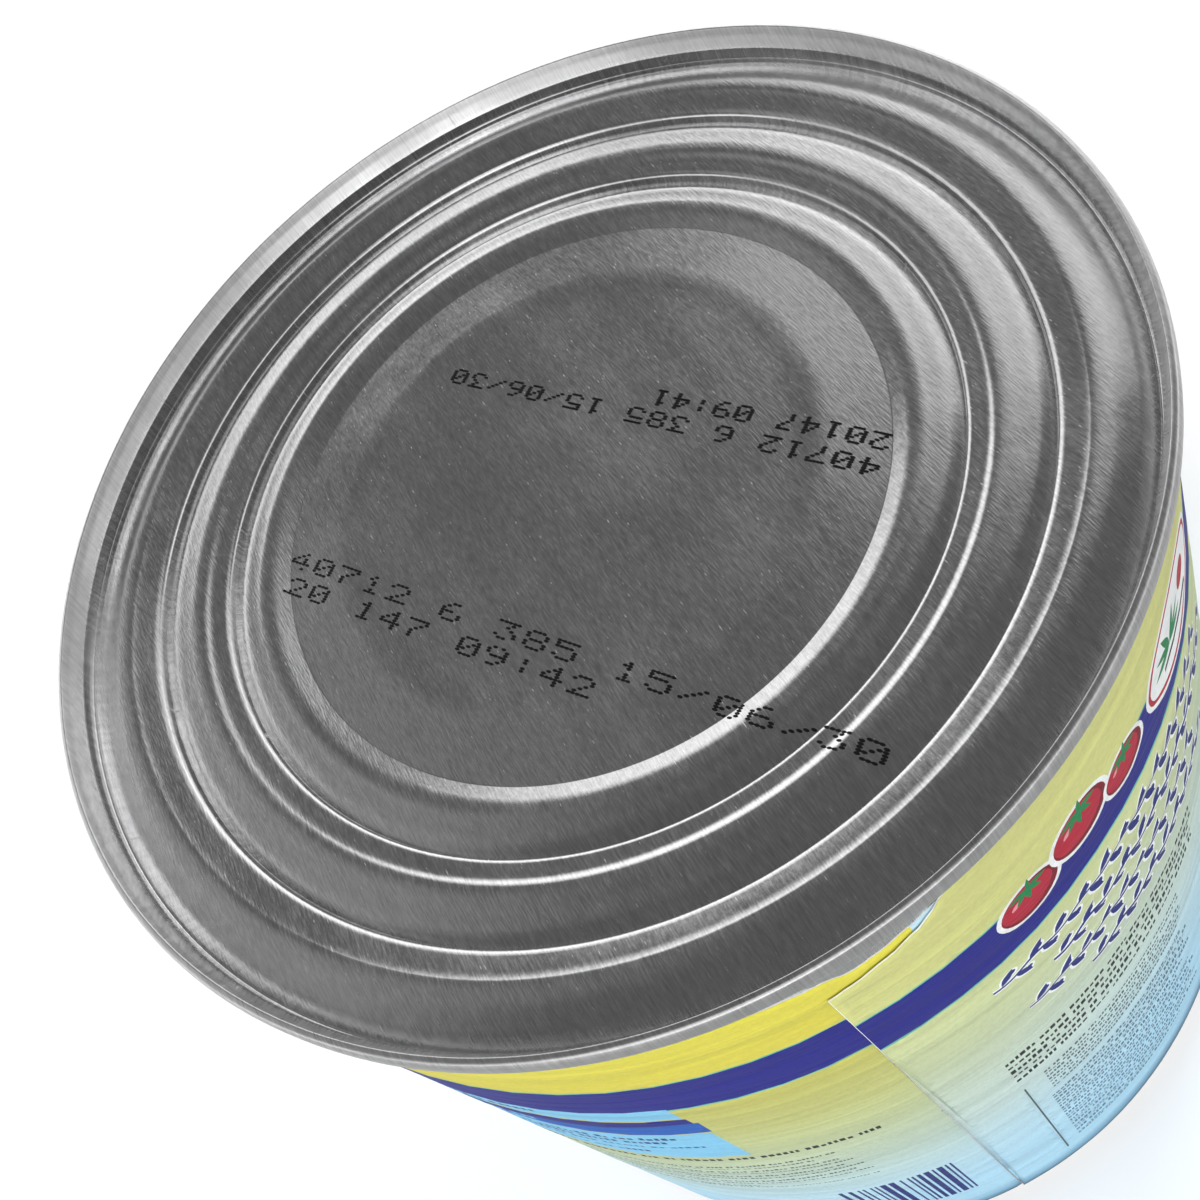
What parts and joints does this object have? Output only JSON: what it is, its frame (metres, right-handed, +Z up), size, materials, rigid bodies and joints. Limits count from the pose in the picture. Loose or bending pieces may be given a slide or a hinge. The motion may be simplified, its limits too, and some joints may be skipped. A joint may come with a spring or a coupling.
{
  "type": "tomato pulp can",
  "caption": "Large round catering food can with a beaded top end, double seams, narrower stacking foot and a wrapped paper label.",
  "frame": {"origin": "centre of the circle that the foot stands on", "axes": "+Z up along the can's axis, out of the beaded top end; the label's upright overlap edge faces about -Y"},
  "size_m": [0.1572, 0.1572, 0.1545],
  "materials": {
    "tinplate": "tinned steel sheet with fine straight rolling lines, satin to glossy",
    "body_tinplate": "tinned steel sheet, satin",
    "label_paper": "smooth printed label paper, slightly glossy"
  },
  "bodies": {
    "root": {"can_body": "body_tinplate", "top_end": "tinplate", "bottom_end": "tinplate", "label": "label_paper"}
  },
  "joints": []
}
